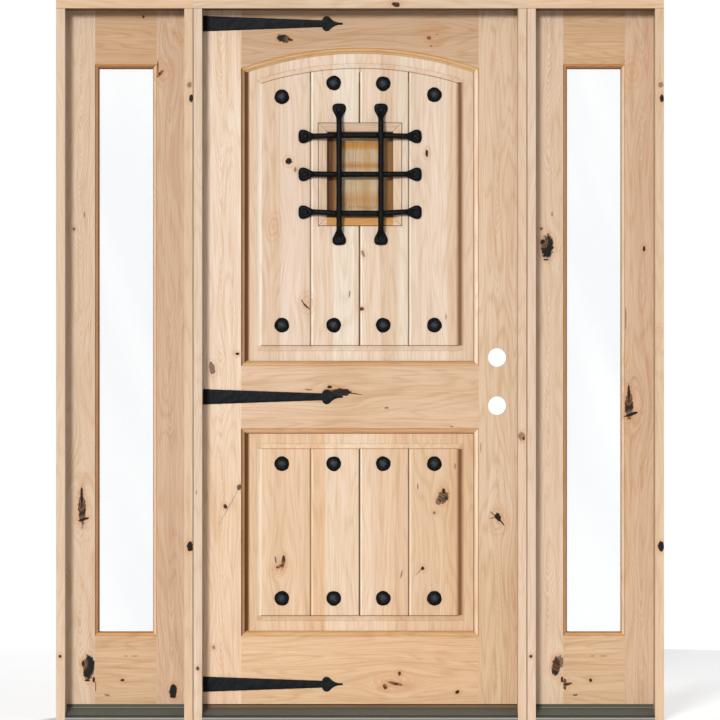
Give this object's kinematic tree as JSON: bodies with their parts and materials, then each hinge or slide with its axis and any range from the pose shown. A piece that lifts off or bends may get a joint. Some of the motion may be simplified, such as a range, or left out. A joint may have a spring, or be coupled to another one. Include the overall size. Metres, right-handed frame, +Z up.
{
  "type": "arched panel entry door with sidelites",
  "caption": "Wooden entry door leaf with arched and square raised panels, iron grille over a small viewing door, strap ornaments and round nails, hung in a frame with fixed glazed sidelites.",
  "frame": {"origin": "middle of the jambs' feet: midway between the outer side faces, halfway through the jamb depth, on the plane the frame stands on", "axes": "+Z up, -Y toward the outside, +X to the right seen from outside"},
  "size_m": [1.7462, 0.136, 2.0701],
  "materials": {
    "door_alder": "bare knotty alder, sanded, satin",
    "jamb_alder": "bare knotty alder, sanded, satin",
    "sidelite_alder": "bare knotty alder, a little darker, satin",
    "amber_alder": "amber-stained alder, satin",
    "core_wood": "bare, matt",
    "cap_wood": "brown, satin",
    "wrought_iron": "black hammered, satin",
    "hinge_steel": "satin",
    "bronze_sill": "dark bronze, satin",
    "spacer_metal": "mill",
    "clear_glass": "clear",
    "seal_foam": "matt foam"
  },
  "bodies": {
    "frame": {"head_jamb": "jamb_alder", "hinge_jamb": "jamb_alder", "strike_jamb": "jamb_alder", "sill_core": "core_wood", "sill_deck": "bronze_sill", "sill_cap": "cap_wood", "weatherstrip": "seal_foam", "frame_hinge_leaves": "hinge_steel", "hinge_pins": "hinge_steel", "frame_screws": "hinge_steel", "left_side_head": "sidelite_alder", "left_side_outer_jamb": "sidelite_alder", "left_side_mull_jamb": "sidelite_alder", "left_side_sill": "bronze_sill", "left_sash_outer_stile": "sidelite_alder", "left_sash_inner_stile": "sidelite_alder", "left_sash_top_rail": "sidelite_alder", "left_sash_bottom_rail": "sidelite_alder", "left_glass": "clear_glass", "left_glass_spacer": "spacer_metal", "left_glazing_beads": "sidelite_alder", "right_side_head": "sidelite_alder", "right_side_outer_jamb": "sidelite_alder", "right_side_mull_jamb": "sidelite_alder", "right_side_sill": "bronze_sill", "right_sash_outer_stile": "sidelite_alder", "right_sash_inner_stile": "sidelite_alder", "right_sash_top_rail": "sidelite_alder", "right_sash_bottom_rail": "sidelite_alder", "right_glass": "clear_glass", "right_glass_spacer": "spacer_metal", "right_glazing_beads": "sidelite_alder"},
    "door_leaf": {"hinge_stile": "door_alder", "latch_stile": "door_alder", "top_rail": "door_alder", "lock_rail": "door_alder", "bottom_rail": "door_alder", "upper_panel": "door_alder", "lower_panel": "door_alder", "rail_dowels": "core_wood", "speakeasy_ring": "door_alder", "speakeasy_liner": "door_alder", "grille_uprights": "wrought_iron", "grille_crossbars": "wrought_iron", "grille_screws": "wrought_iron", "strap_bottom": "wrought_iron", "strap_middle": "wrought_iron", "strap_top": "wrought_iron", "strap_screws": "wrought_iron", "round_nails": "wrought_iron", "door_hinge_leaves": "hinge_steel", "door_screws": "hinge_steel", "sweep": "seal_foam", "speakeasy_fixed_leaves": "wrought_iron", "bolt_keeper": "wrought_iron"},
    "speakeasy": {"speakeasy_door": "amber_alder", "speakeasy_leaves": "wrought_iron", "bolt_guides": "wrought_iron"},
    "slide_bolt": {"bolt": "wrought_iron"}
  },
  "joints": [
    {"name": "door_hinge", "type": "hinge", "parent": "frame", "child": "door_leaf", "pos_m": [-0.4588, 0.0655, 1.0446], "axis": [0, 0, 1], "range_deg": [0, 115]},
    {"name": "speakeasy_hinge", "type": "hinge", "parent": "door_leaf", "child": "speakeasy", "pos_m": [-0.1055, 0.05792, 1.5719], "axis": [0, 0, 1], "range_deg": [0, 110]},
    {"name": "bolt_slide", "type": "slide", "parent": "speakeasy", "child": "slide_bolt", "axis": [1, 0, 0], "range_m": [0, 0.013]}
  ]
}
